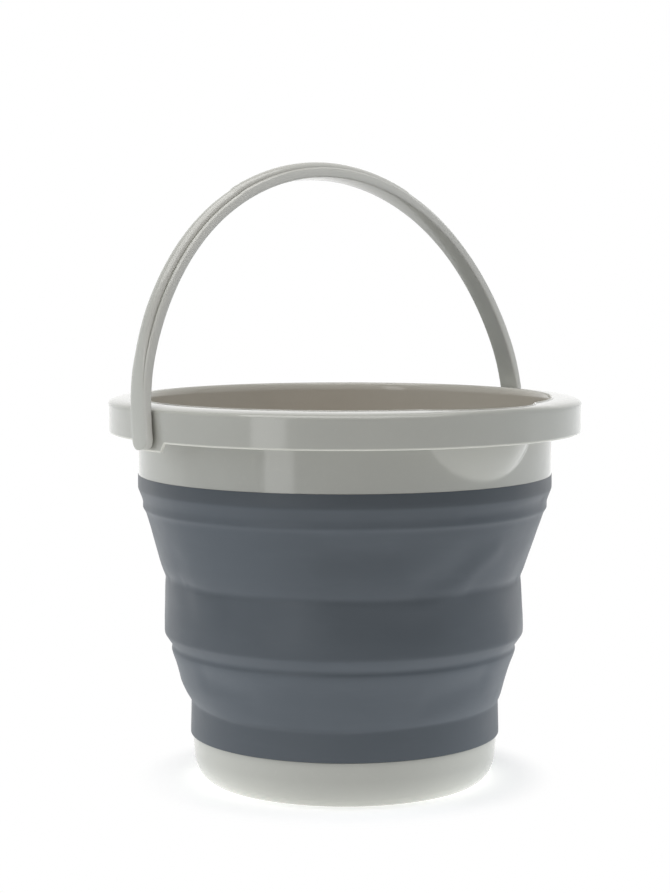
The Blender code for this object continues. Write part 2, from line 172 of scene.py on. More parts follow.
class BucketBailSizes(bpy.types.PropertyGroup):
    """Sizes of the bail"""

    half_span: length("Half span", "From the middle to the inner side of a leg at the pivot", 0.1577)
    rise: length("Rise", "From the pivot to the inner side of the grip", 0.1616)
    power: amount("Arch power", "Shape of the arch: 2 is an ellipse, and less is more pointed", 1.98)
    lean: turning("Lean", "How far the bail leans back at rest", math.radians(7.3))
    width: length("Width", "Width of the legs and the grip", 0.0158)
    edge: length("Edge", "Radius of the long edges", 0.0012)
    groove: length("Groove", "Depth of the groove beside the round back", 0.0022)
    crown_width: length("Crown width", "Width of the round back", 0.0093)
    draw_in: length("Draw in", "How far the legs draw in at a third of the arch's height", 0.0011)
    pad: length("Pad", "How far the flat ends stand in towards the ears", 0.0005)
    leg_strip: length("Leg strip", "Thickness of the leg's flat part", 0.0062)
    leg_crown: length("Leg crown", "Height of the leg's round back", 0.0041)
    grip_strip: length("Grip strip", "Thickness of the grip's flat part", 0.0067)
    grip_crown: length("Grip crown", "Height of the grip's round back", 0.0043)
    grip_half_length: length("Grip half length", "Half the length of the grip", 0.0680)
    grip_ramp: length("Grip ramp", "Length of the step at each end of the grip", 0.0035)
    paddle_thickness: length("Paddle thickness", "Thickness of the flat ends", 0.0042)
    paddle_width: length("Paddle width", "Width of the flat ends", 0.0174)
    paddle_drop: length("Paddle drop", "How far the flat ends reach below the pivot", 0.0092)
    paddle_round: length("Paddle round", "Corner radius of the flat ends", 0.0062)
    stud_radius: length("Stud radius", "Radius of the studs that turn in the ears", 0.0032)
    stud_clearance: length("Stud clearance", "Room round the studs", 0.0003)
    barb_radius: length("Barb radius", "Radius of the split barbs behind the ears", 0.0044)
    barb_length: length("Barb length", "Length of the split barbs", 0.0030)
    barb_slot: length("Barb slot", "Width of the slot in the barbs", 0.0014)


class BucketFinish(bpy.types.PropertyGroup):
    """Colours and finish of the two plastics"""

    # Painted highlight: this lighter colour on the strip along the skirt's foot stands for a bright line of
    # light, not for the plastic's own colour
    thin: colour("Painted edge highlight", "Colour of the rim's thin lower edge", (0.66, 0.65, 0.58))
    pale: colour("Pale plastic", "Colour of the rim, base and bail", (0.452, 0.448, 0.402))
    pale_rough: share("Pale roughness", "Roughness of the pale plastic", 0.11)
    soft: colour("Soft plastic", "Colour of the bellows", (0.0905, 0.1045, 0.1185))
    soft_rough: share("Soft roughness", "Roughness of the bellows", 0.46)


class BucketStage(bpy.types.PropertyGroup):
    """Camera, lamps and floor"""

    azimuth: turning("Azimuth", "Where the camera stands", CAMERA_AZIMUTH)
    distance: length("Distance", "From the bucket's axis to the camera", 1.466)
    height: length("Height", "Height of the camera", 0.3525)
    pitch: turning("Pitch", "How far the camera looks down", 0.09016)
    turn: turning("Turn", "How far the camera looks to the right of the axis", -0.0044)
    focal: amount("Focal length", "Focal length in mm", 89.766)
    ambient: amount("Ambient", "Light that comes from all round", 0.02)
    floor_glow: amount("Floor glow", "Light that comes up from the floor", 0.56)
    bail_power: amount("Bail light", "Light that stands for what shines through the thin bail, in W", 3.6)
    bail_tone: colour("Bail tone", "Colour of that light", (0.93, 0.90, 1.0))
    side_glow: amount("Side glow", "Extra light from the floor to the left and right of the base", 0.86)
    near_glow: amount("Near glow", "Extra light that comes up from the floor close to the base", 0.34)
    top_power: amount("Top lamp", "Power of the large lamp overhead, in watts", 21.5)
    left_power: amount("Left lamp", "Power of the large lamp on the left, in watts", 5.1)
    left_tone: colour("Left tone", "Colour of the lamp on the left", (0.87, 0.93, 1.0))
    right_power: amount("Right lamp", "Power of the large lamp on the right, in watts", 4.6)
    right_tone: colour("Right tone", "Colour of the lamp on the right", (0.76, 0.87, 1.0))
    back_power: amount("Back lamp", "Power of the lamp behind the bucket, in watts", 0.7)
    window_power: amount("Window", "Power of the upright panel that only shows in the gloss, in watts", 3.0)
    inside_power: amount("Inside light", "Power of the light that stands for what the rim lets in", 0.185)
    inside_tone: colour("Inside tone", "Colour of the light inside the rim", (1.0, 0.81, 0.68))
    floor_size: length("Floor size", "Side of the floor", 8.0)


def even(low, high, count):
    """Evenly spaced numbers, without the first."""
    return np.linspace(low, high, count + 1)[1:]


def smooth(value):
    """0 to 1 with a level start and end."""
    value = np.clip(value, 0.0, 1.0)
    return value * value * (3.0 - 2.0 * value)


def arc(centre, radius, start, end, count):
    """Points of an arc as (across, up), at angles in degrees, without the first."""
    return [
        (centre[0] + radius * math.cos(a), centre[1] + radius * math.sin(a))
        for a in np.radians(even(start, end, count))
    ]


def placed(name, data):
    """A new object in the scene."""
    obj = bpy.data.objects.new(name, data)
    bpy.context.scene.collection.objects.link(obj)
    return obj


def shade(mesh, crease=SHARP):
    """Smooth, except along corners sharper than crease degrees."""
    mesh.polygons.foreach_set("use_smooth", np.ones(len(mesh.polygons), bool))
    mesh.set_sharp_from_angle(angle=math.radians(crease))


def from_bmesh(name, bm):
    mesh = bpy.data.meshes.new(name)
    bm.to_mesh(mesh)
    bm.free()
    return placed(name, mesh)


def finish_mesh(name, verts, faces, crease=SHARP):
    """An object of its own, with its points merged and its faces turned outwards."""
    mesh = bpy.data.meshes.new(name)
    mesh.from_pydata([tuple(v) for v in verts], [], faces)
    bm = bmesh.new()
    bm.from_mesh(mesh)
    bmesh.ops.remove_doubles(bm, verts=bm.verts, dist=MERGE)
    bmesh.ops.recalc_face_normals(bm, faces=bm.faces)
    bm.to_mesh(mesh)
    bm.free()
    shade(mesh, crease)
    return placed(name, mesh)


def keep_heights(mesh):
    """The height of every place at rest, as a share of the known height, kept for the painted light and
    shade in its material.
    """
    places = np.empty(len(mesh.vertices) * 3)
    mesh.vertices.foreach_get("co", places)
    corners = np.empty(len(mesh.loops), dtype=np.int32)
    mesh.loops.foreach_get("vertex_index", corners)
    x, y, z = places.reshape(-1, 3)[corners].T
    pairs = np.stack([np.arctan2(x, -y) / math.tau + 0.5, z / (KNOWN_HEIGHT * MM)], -1)
    mesh.uv_layers.new(name="height").data.foreach_set("uv", pairs.ravel())


def ring_points(azimuths, radii, heights):
    """Places at azimuths measured from the front, where the pouring lip is."""
    azimuths, radii, heights = np.broadcast_arrays(azimuths, radii, heights)
    return np.stack([radii * np.sin(azimuths), -radii * np.cos(azimuths), heights], -1)


def band_faces(count, around, closed=False):
    """Faces between rows that run all the way round. A closed band joins its last row to its first."""
    faces = []
    for i in range(count if closed else count - 1):
        low, high = i * around, (i + 1) % count * around
        for j in range(around):
            k = (j + 1) % around
            faces.append((low + j, low + k, high + k, high + j))
    return faces


def ring_mesh(name, rows, closed=True, crease=SHARP):
    rows = np.asarray(rows)
    count, around = rows.shape[:2]
    return finish_mesh(name, rows.reshape(-1, 3), band_faces(count, around, closed), crease)


def cut(obj, other):
    """Takes the other object out of this one, and leaves a plain mesh."""
    modifier = obj.modifiers.new("Cut", "BOOLEAN")
    modifier.operation = "DIFFERENCE"
    modifier.solver = "EXACT"
    modifier.object = other
    bpy.context.view_layer.update()
    evaluated = obj.evaluated_get(bpy.context.evaluated_depsgraph_get())
    mesh = bpy.data.meshes.new_from_object(evaluated)
    obj.modifiers.clear()
    obj.data = mesh
    bpy.data.objects.remove(other)
    shade(mesh)
    return obj


def cylinder(name, radius, depth, places):
    """Rods along X at the given places, for cutting."""
    bm = bmesh.new()
    for place in places:
        matrix = Matrix.Translation(place) @ Matrix.Rotation(math.pi / 2.0, 4, "Y")
        bmesh.ops.create_cone(
            bm, cap_ends=True, segments=48, radius1=radius, radius2=radius, depth=depth, matrix=matrix
        )
    return from_bmesh(name, bm)


# Finishes


def node(tree, kind, inputs=None, **settings):
    """A new node, with its inputs set to values or linked to other nodes."""
    new = tree.nodes.new(kind)
    for key, value in settings.items():
        setattr(new, key, value)
    for key, value in (inputs or {}).items():
        if isinstance(value, bpy.types.NodeSocket):
            tree.links.new(value, new.inputs[key])
        else:
            new.inputs[key].default_value = value
    return new


def noise(tree, place, scale, detail=2.0, roughness=0.5):
    inputs = {"Vector": place, "Scale": scale, "Detail": detail, "Roughness": roughness}
    return node(tree, "ShaderNodeTexNoise", inputs).outputs["Fac"]


def mapped(tree, value, low, high, start=0.3, end=0.7, kind="LINEAR"):
    """A value between start and end spread over low to high."""
    inputs = {"Value": value, "From Min": start, "From Max": end, "To Min": low, "To Max": high}
    return node(tree, "ShaderNodeMapRange", inputs, interpolation_type=kind).outputs["Result"]


def tinted(tree, value, first, second, kind="MIX"):
    """A blend between two colours."""
    tones = [tone if isinstance(tone, bpy.types.NodeSocket) else (*tone, 1.0) for tone in (first, second)]
    inputs = {0: value, 6: tones[0], 7: tones[1]}
    return node(tree, "ShaderNodeMix", inputs, data_type="RGBA", blend_type=kind).outputs[2]


def scaled(tone, factor):
    return tuple(min(part * factor, 1.0) for part in tone)


def bumped(tree, height, strength, distance, below=None):
    inputs = {"Height": height, "Strength": strength, "Distance": distance}
    if below:
        inputs["Normal"] = below
    return node(tree, "ShaderNodeBump", inputs).outputs["Normal"]


def plastic(name, ior):
    """A new material, with its nodes and the places on its piece."""
    material = bpy.data.materials.new(name)
    material.use_nodes = True
    tree = material.node_tree
    tree.nodes["Principled BSDF"].inputs["IOR"].default_value = ior
    return material, tree, node(tree, "ShaderNodeTexCoord").outputs["Object"]


def dress_shader(tree, base, dull, skin):
    """Link colour, roughness and bumps to the shader."""
    shader = tree.nodes["Principled BSDF"].inputs
    for socket, value in (("Base Color", base), ("Roughness", dull), ("Normal", skin)):
        tree.links.new(value, shader[socket])


def moulded_plastic(name, tone, rough):
    """Moulded plastic with cloudy colour, slightly uneven gloss and a fine skin."""
    material, tree, place = plastic(name, 1.46)
    cloud = mapped(tree, noise(tree, place, 9.0, 3.0), 0.0, 1.0)
    base = tinted(tree, cloud, scaled(tone, 0.965), scaled(tone, 1.035))
    fleck = mapped(tree, noise(tree, place, 420.0, 2.0), 0.0, 0.10, 0.58, 0.75)
    base = tinted(tree, fleck, base, scaled(tone, 1.22))
    dull = mapped(tree, noise(tree, place, 22.0, 4.0, 0.6), rough * 0.85, rough * 1.2)
    swell = bumped(tree, noise(tree, place, 14.0, 1.0), 0.05, 0.0010)
    skin = bumped(tree, noise(tree, place, 2600.0, 2.0), 0.10, 0.00002, swell)
    dress_shader(tree, base, dull, skin)
    return material


# Painted light and shade: share of its colour that the soft plastic shows at heights in mm at rest, lighter
# on the thin webs for light let through them and darker on the collars, the middle ring and under the band
PAINTED_WALL_LIGHT = (
    (31.0, 0.90), (50.5, 0.90), (53.0, 1.04), (88.0, 1.08), (93.0, 1.03), (98.0, 0.92),
    (133.5, 0.90), (137.0, 1.0), (178.0, 0.99), (192.5, 0.96), (194.5, 0.80), (203.0, 0.76),
)


def soft_plastic(name, tone, rough):
    """Soft rubber-like plastic with faint streaks, and painted light and shade by height: lighter on the
    webs, darker on the collars and the middle ring.
    """
    material, tree, place = plastic(name, 1.36)
    cloud = mapped(tree, noise(tree, place, 7.0, 3.0), 0.0, 1.0)
    base = tinted(tree, cloud, scaled(tone, 0.94), scaled(tone, 1.06))
    stretch = node(tree, "ShaderNodeMapping", {"Vector": place, "Scale": (30.0, 30.0, 160.0)})
    streaks = mapped(tree, noise(tree, stretch.outputs["Vector"], 1.0, 4.0, 0.6), 0.0, 0.16, 0.5, 0.75)
    base = tinted(tree, streaks, base, scaled(tone, 1.3))
    # Painted light and shade: the colour is scaled by the height kept at rest
    kept_heights = node(tree, "ShaderNodeUVMap", uv_map="height").outputs["UV"]
    height = node(tree, "ShaderNodeSeparateXYZ", {0: kept_heights}).outputs["Y"]
    wall_light = node(tree, "ShaderNodeValToRGB", {"Fac": height})
    steps = wall_light.color_ramp.elements
    for _ in PAINTED_WALL_LIGHT[2:]:
        steps.new(0.5)
    for step, (place_up, light_share) in zip(steps, PAINTED_WALL_LIGHT):
        step.position = place_up / KNOWN_HEIGHT
        step.color = (light_share, light_share, light_share, 1.0)
    base = tinted(tree, 1.0, base, wall_light.outputs["Color"], "MULTIPLY")
    dull = mapped(tree, noise(tree, place, 16.0, 4.0, 0.6), rough * 0.86, rough * 1.16)
    swell = bumped(tree, noise(tree, place, 24.0, 2.0), 0.25, 0.0012)
    skin = bumped(tree, noise(tree, place, 1100.0, 3.0), 0.25, 0.00010, swell)
    dress_shader(tree, base, dull, skin)
    return material


def pale_material(context):
    look = context.scene.bucket_finish
    name = "pale_moulded_plastic"
    return bpy.data.materials.get(name) or moulded_plastic(name, tuple(look.pale), look.pale_rough)


# Rim


def softer_maximum(first, second, width):
    """The larger of two numbers, with a rounded change between them."""
    return (first + second + np.sqrt((first - second) ** 2 + width**2)) / 2.0


def spout_radius(sizes, azimuths, height, shrink):
    """Distance from the axis to the pouring lip's ellipsoid, and 0 beside the ellipsoid."""
    band_top = sizes.mouth_radius + sizes.wall
    centre = sizes.mouth_radius + sizes.spout_reach - sizes.spout_bulge
    at_foot = math.sqrt(1.0 - ((band_top - sizes.band_draft - centre) / sizes.spout_bulge) ** 2)
    at_lip = math.sqrt(band_top**2 - sizes.spout_half_width**2)
    at_side = math.sqrt(1.0 - ((at_lip - centre) / sizes.spout_bulge) ** 2)
    across = sizes.spout_half_width / at_side - shrink
    out = sizes.spout_bulge - shrink
    down = sizes.spout_drop / at_foot - shrink
    square = (np.sin(azimuths) / across) ** 2 + (np.cos(azimuths) / out) ** 2
    middle = centre * np.cos(azimuths) / out**2
    rest = (centre / out) ** 2 + ((height - sizes.lip_top) / down) ** 2 - 1.0
    inside = middle**2 - square * rest
    reach = (middle + np.sqrt(np.maximum(inside, 0.0))) / square
    return np.where((inside > 0.0) & (np.cos(azimuths) > 0.0), reach, 0.0)


# Steps round the rim and over the pouring lip
RIM_STEPS, SPOUT_STEPS = 288, 151

# Degrees to each side over which the lip's steps reach, and from which two steps don't come closer
SPOUT_ARC = 25.0
STEP_CLEARANCE = 0.25


def rim_azimuths(sizes, pivot):
    """Even steps, closer together round the pouring lip and at the ends of the ears."""
    even_steps = np.linspace(-math.pi, math.pi, RIM_STEPS, endpoint=False)
    spout = np.radians(np.linspace(-SPOUT_ARC, SPOUT_ARC, SPOUT_STEPS))
    keep = even_steps[np.abs(even_steps) > np.radians(SPOUT_ARC + STEP_CLEARANCE)]
    ears = []
    half, ramp = sizes.ear_half_width, sizes.ear_ramp
    for across in (half, half + ramp * 0.33, half + ramp * 0.66, half + ramp):
        for side in (-1.0, 1.0):
            angle = math.acos(-(pivot + side * across) / sizes.flange_radius)
            ears += [angle, -angle]
    for angle in ears:
        keep = keep[np.abs(keep - angle) > np.radians(STEP_CLEARANCE)]
    return np.sort(np.concatenate([keep, spout, ears]))


def skirt_foot(sizes, azimuths, pivot):
    """Height of the skirt's lower edge, which is lower at the two ears."""
    away = np.abs(-sizes.flange_radius * np.cos(azimuths) - pivot)
    ear = np.clip((sizes.ear_half_width + sizes.ear_ramp - away) / sizes.ear_ramp, 0.0, 1.0)
    return sizes.lip_top - sizes.skirt_drop - sizes.ear_drop * ear


def mark_painted_highlight_strip(mesh, sizes, pivot):
    """Give the second material, a painted highlight, to the outer faces along the skirt's foot."""
    for face in mesh.polygons:
        x, y, z = face.center
        foot = float(skirt_foot(sizes, math.atan2(x, -y), pivot))
        outside = math.hypot(x, y) > sizes.flange_radius - sizes.wall / 2.0
        face.material_index = int(outside and z < foot + sizes.painted_highlight_strip)


# Angle in degrees at which the shoulder starts, and its power: 1 is an ellipse, and less is squarer
SHOULDER_START = 4.0
SHOULDER_POWER = 2.0 / 2.9


def rim_rows(sizes, pivot):
    """The section of the rim at every azimuth, as rows of places that run round the bucket."""
    azimuths = rim_azimuths(sizes, pivot)
    band_foot = sizes.mouth_radius + sizes.wall - sizes.band_draft
    lap_inside = band_foot - sizes.wall / 2.0
    lap_top = sizes.band_foot + sizes.lap + SEAT_GAP
    lip, edge = sizes.lip_width, sizes.edge
    under = sizes.lip_top - sizes.flange_fall - sizes.wall
    skirt_inside = sizes.flange_radius - sizes.wall
    foot = skirt_foot(sizes, azimuths, pivot)

    def inside(height):
        part = (height - lap_top) / (sizes.lip_top - lap_top)
        band = sizes.mouth_radius - sizes.band_draft * (1.0 - part)
        return softer_maximum(band, spout_radius(sizes, azimuths, height, sizes.wall), sizes.crease)

    def outside(height):
        part = (height - sizes.band_foot) / (sizes.lip_top - sizes.band_foot)
        band = band_foot + sizes.band_draft * part
        return softer_maximum(band, spout_radius(sizes, azimuths, height, 0.0), sizes.crease)

    lip_foot = sizes.lip_top - sizes.lip_height
    line = [(inside(height), height) for height in np.linspace(lap_top, lip_foot, 44)]
    crest = line[-1][0] + lip
    for turn in np.radians(even(0.0, 90.0, 10)):
        line.append((crest - lip * math.cos(turn), lip_foot + sizes.lip_height * math.sin(turn)))
    line += arc((crest, sizes.lip_top - sizes.lip_edge), sizes.lip_edge, 90.0, 20.0, 5)
    start_radius, start_height = line[-1]
    widest = sizes.flange_radius + sizes.swell
    for turn in np.radians(even(SHOULDER_START, 90.0, 26)):
        across = math.sin(turn) ** SHOULDER_POWER
        down = 1.0 - max(math.cos(turn), 0.0) ** SHOULDER_POWER
        line.append((start_radius + (widest - start_radius) * across, start_height - sizes.shoulder * down))
    shoulder_foot = start_height - sizes.shoulder
    strip_top = foot + sizes.painted_highlight_strip
    line += [(widest, shoulder_foot + (strip_top - shoulder_foot) * part) for part in even(0.0, 1.0, 8)]
    line += arc((widest - edge, foot + edge), edge, 0.0, -90.0, 5)
    line += arc((skirt_inside + edge, foot + edge), edge, -90.0, -180.0, 4)
    line += [(skirt_inside, foot + edge + (under - 2.0 * edge - foot) * part) for part in even(0.0, 1.0, 5)]
    line += arc((skirt_inside - edge, under - edge), edge, 0.0, 90.0, 3)
    run = outside(under) + 2.0 * edge - skirt_inside
    line += [(skirt_inside - edge + run * part, under) for part in even(0.0, 1.0, 5)]
    line += [(outside(height), height) for height in np.linspace(under - edge, sizes.band_foot, 48)]
    line += [(lap_inside, sizes.band_foot), (lap_inside, lap_top)]
    return [ring_points(azimuths, radii, heights) for radii, heights in line]


class BUCKET_OT_rim(bpy.types.Operator):
    """Build the rim: the mouth band with its pouring lip, the flange, the skirt and its ears"""

    bl_idname = "bucket.rim"
    bl_label = "Rim"

    def execute(self, context):
        sizes = context.scene.bucket_rim
        bail = context.scene.bucket_bail
        pivot = Vector(BAIL_HINGE["pos_m"])
        rim = ring_mesh("rim_moulding", rim_rows(sizes, pivot.y), crease=32.0)
        middle = sizes.flange_radius - sizes.wall / 2.0
        places = [Vector((side * middle, pivot.y, pivot.z)) for side in (-1.0, 1.0)]
        rod = cylinder("bearing_holes", bail.stud_radius + bail.stud_clearance, sizes.wall + 0.005, places)
        cut(rim, rod)
        rim.data.materials.clear()
        rim.data.materials.append(pale_material(context))
        look = context.scene.bucket_finish
        # The second material is the painted highlight along the skirt's foot
        rim.data.materials.append(moulded_plastic("pale_painted_edge_highlight", tuple(look.thin), look.pale_rough))
        mark_painted_highlight_strip(rim.data, sizes, pivot.y)
        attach(rim, "rim")
        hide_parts("rim_ring")
        return {"FINISHED"}


# Bellows


# Outer outline of the bellows from top to foot, as (height, radius) in mm
BELLOWS_OUTLINE = (
    (203.2, 136.3), (194.5, 136.4), (193.2, 135.9), (190.5, 134.8), (188.0, 133.9), (186.3, 133.3),
    (184.8, 133.1), (181.6, 133.3), (180.7, 132.9), (179.6, 131.9), (177.5, 131.0), (174.8, 130.2),
    (172.1, 129.3), (166.8, 127.6), (161.4, 126.0), (156.1, 124.4), (150.7, 122.7), (145.4, 121.1),
    (140.0, 119.3), (137.3, 118.1), (135.2, 117.5), (132.0, 117.8), (126.7, 118.1), (118.6, 118.4),
    (108.0, 118.9), (100.0, 119.0), (98.0, 118.8), (96.8, 118.0), (92.8, 115.2), (91.6, 114.4),
    (90.4, 113.6), (89.2, 113.5), (88.0, 114.0), (86.8, 114.1), (83.7, 113.1), (78.3, 111.0),
    (72.8, 109.3), (67.4, 107.9), (62.0, 106.3), (56.5, 104.6), (53.5, 103.5), (51.8, 102.8),
    (50.9, 102.1), (49.5, 102.0), (33.0, 102.5), (31.0, 102.5),
)

# Heights in mm at which that outline turns most
OUTLINE_TURNS = (203.0, 193.4, 180.8, 135.5, 97.5, 90.5, 51.2, 31.0)

# How far the soft wall leans to one side, in mm, at heights in mm, and the azimuth it leans to
WALL_LEAN = (
    (31.0, 0.0), (54.0, 0.0), (66.0, 1.0), (80.0, 0.8),
    (102.0, 0.6), (134.0, 1.4), (146.0, 1.4), (185.0, 0.0),
)
LEAN_AZIMUTH = math.radians(-130.0)

# Slow waves of the soft wall: height in mm, number round the bucket, start and climb
WALL_WAVES = ((0.30, 3.0, 0.9, 25.0), (0.16, 5.0, 2.1, -38.0), (0.10, 8.0, 4.0, 60.0))

# Heights where the waves start and end and the dents start, and over how much height they do so
WAVES_START, WAVES_RISE = 0.050, 0.015
WAVES_END, WAVES_FALL = 0.190, 0.020
DENTS_START, DENTS_RISE = 0.052, 0.010

# Radius at which distances along the wall are measured
WALL_RADIUS = 0.118

# Creases and dents: (azimuth in degrees, height in mm) along each, then its depth and its half width in mm
CREASES = (
    (((-14.0, 133.0), (-5.0, 138.0), (-1.0, 145.0), (3.0, 153.0), (9.0, 162.0)), -0.8, 4.5),
    (((-16.0, 142.0), (-9.0, 150.0), (-3.0, 160.0)), 1.2, 6.5),
    (((2.0, 137.5), (10.0, 138.0), (23.0, 136.0), (33.0, 137.0)), 0.5, 2.4),
    (((-99.0, 152.0), (-99.5, 138.0), (-96.0, 122.0)), 0.45, 6.0),
    (((-113.0, 138.0), (-101.0, 139.5)), 0.7, 2.4),
    (((-97.0, 137.5), (-85.0, 134.5), (-64.0, 136.0), (-40.0, 135.0), (-12.0, 133.5)), 0.55, 2.0),
    (((-42.0, 166.0), (-27.0, 165.0)), 2.0, 8.5),
    (((-76.0, 126.0), (-62.0, 122.0)), 1.6, 8.0),
    (((-36.0, 126.0), (-18.0, 120.0)), 2.0, 9.0),
    (((30.0, 189.0), (10.0, 186.5), (-6.0, 186.5)), 0.5, 2.2),
    (((-92.0, 76.0), (-74.0, 70.0)), 1.2, 6.5),
    (((-10.0, 68.0), (12.0, 77.0)), 1.2, 6.5),
    (((52.0, 136.0), (80.0, 134.0), (97.0, 137.0)), 0.9, 3.0),
    (((118.0, 152.0), (126.0, 136.0), (131.0, 122.0)), 1.0, 5.0),
    (((168.0, 136.0), (190.0, 134.5), (214.0, 137.5)), 0.8, 3.0),
    (((207.0, 158.0), (201.0, 148.0), (196.0, 137.0)), 1.2, 5.2),
    (((64.0, 76.0), (72.0, 70.0), (88.0, 68.0)), 0.8, 6.0),
    (((150.0, 72.0), (172.0, 66.0), (182.0, 72.0)), 0.8, 6.0),
)


def bellows_outline(softness):
    """The outline sampled every half millimetre with its corners rounded: heights and radii in metres."""
    step, spread, beyond = 0.5, 12, 1.0
    heights = np.arange(BELLOWS_OUTLINE[-1][0] - beyond, BELLOWS_OUTLINE[0][0] + beyond, step)
    known = np.array(sorted(BELLOWS_OUTLINE))
    radii = np.interp(heights, known[:, 0], known[:, 1])
    reach = np.arange(-spread, spread + 1) * step
    weights = np.exp(-0.5 * (reach / max(softness / MM, 0.01)) ** 2)
    padded = np.pad(radii, spread, mode="edge")
    soft = np.convolve(padded, weights / weights.sum(), "valid")
    return heights * MM, soft * MM


def distance_to_line(azimuths, heights, line, radius):
    """Distance in metres along the wall from every place to a line of (azimuth in degrees, height in mm)."""
    best = np.full(azimuths.shape, 1e9)
    for first, second in zip(line, line[1:]):
        turn = (azimuths - math.radians(first[0]) + math.pi) % math.tau - math.pi
        across, up = turn * radius, heights - first[1] * MM
        run = math.radians(second[0] - first[0]) * radius
        rise = (second[1] - first[1]) * MM
        along = np.clip((across * run + up * rise) / (run**2 + rise**2), 0.0, 1.0)
        best = np.minimum(best, np.hypot(across - along * run, up - along * rise))
    return best


def unevenness(azimuths, heights):
    """How far the soft wall stands out from its outline, in metres."""
    lean_heights, lean = np.array(WALL_LEAN).T
    shift = np.interp(heights, lean_heights * MM, lean * MM) * np.cos(azimuths - LEAN_AZIMUTH)
    dents = 0.0
    for line, depth, width in CREASES:
        away = distance_to_line(azimuths, heights, line, WALL_RADIUS)
        dents = dents + depth * MM * np.exp(-0.5 * (away / (width * MM)) ** 2)
    waves = sum(
        high * np.sin(times * azimuths + start + heights * climb) for high, times, start, climb in WALL_WAVES
    )
    calm = smooth((heights - WAVES_START) / WAVES_RISE) * smooth((WAVES_END - heights) / WAVES_FALL)
    return shift - dents * smooth((heights - DENTS_START) / DENTS_RISE) + waves * MM * calm


# How far the edge of the lower collar wavers up, in mm, at azimuths in degrees, and its height and reach
COLLAR_WAVER = (
    (-180.0, 1.0), (-130.0, 3.0), (-111.0, 3.0), (-85.0, -0.5), (-67.0, -1.5), (-40.0, -1.5), (-11.0, 1.0),
    (35.0, 2.5), (90.0, 0.5), (180.0, 1.0),
)
COLLAR_EDGE, WAVER_REACH = 0.052, 0.008


def wavered(azimuths, height):
    """Heights to read the outline at, so that the collar's edge isn't quite level."""
    known = np.radians([turn for turn, _ in COLLAR_WAVER])
    lift = np.interp(azimuths, known, [rise * MM for _, rise in COLLAR_WAVER])
    return height - lift * math.exp(-(((height - COLLAR_EDGE) / WAVER_REACH) ** 2))


def row_heights(top, foot):
    """Heights from top to foot, closer together where the outline turns."""
    fine, coarse, reach = 0.0007, 0.0021, 0.0035
    heights = [top]
    while heights[-1] > foot:
        near = min(abs(heights[-1] - turn * MM) for turn in OUTLINE_TURNS)
        heights.append(heights[-1] - (fine if near < reach else coarse))
    heights[-1] = foot
    return heights


def bellows_wall(sizes, top, foot):
    """Outer and inner wall of a stretch of the bellows, as rows that run round the bucket."""
    around = 320
    azimuths = np.linspace(-math.pi, math.pi, around, endpoint=False)
    known_heights, known_radii = bellows_outline(sizes.softness)
    outer, inner = [], []
    for height in row_heights(top, foot):
        radii = np.interp(wavered(azimuths, height), known_heights, known_radii)
        radii = radii + unevenness(azimuths, np.full(around, height)) * sizes.unevenness
        outer.append(ring_points(azimuths, radii, height))
        inner.append(ring_points(azimuths, radii - sizes.wall, height))
    return outer, inner, azimuths


class BUCKET_OT_bellows(bpy.types.Operator):
    """Build the soft bellows: one wall with two folding stretches between the rim, middle ring and base"""

    bl_idname = "bucket.bellows"
    bl_label = "Bellows"

    def execute(self, context):
        sizes = context.scene.bucket_bellows
        rim = context.scene.bucket_rim
        look = context.scene.bucket_finish
        material = soft_plastic("soft_bellows_plastic", tuple(look.soft), look.soft_rough)
        seat = rim.band_foot - 0.00005
        outer, inner, azimuths = bellows_wall(sizes, seat, sizes.seam)
        band_foot = rim.mouth_radius + rim.wall - rim.band_draft
        lap_radius = band_foot - rim.wall / 2.0 - SEAT_GAP
        lap_top = rim.band_foot + rim.lap
        lap_inside = band_foot - sizes.wall - SEAT_GAP
        bevel, fall = 0.0003, 0.0004
        lap = [
            (lap_inside, lap_top - fall), (lap_inside + bevel, lap_top), (lap_radius - bevel, lap_top),
            (lap_radius, lap_top - fall), (lap_radius, seat),
        ]
        lap_rows = [ring_points(azimuths, radius, height) for radius, height in lap]
        upper = ring_mesh("bellows_upper", lap_rows + outer + inner[::-1])
        lower_outer, lower_inner, azimuths = bellows_wall(sizes, sizes.seam, COLLAR_LOW.z)
        lower = ring_mesh("bellows_lower", lower_outer + lower_inner[::-1])
        for obj in (upper, lower):
            keep_heights(obj.data)
            obj.data.materials.append(material)
        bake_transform(upper)
        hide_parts("bellows_upper_collar", "upper_fold_web", "bellows_middle_ring")
        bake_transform(lower)
        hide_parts("lower_fold_web", "bellows_lower_collar")
        return {"FINISHED"}


# Base


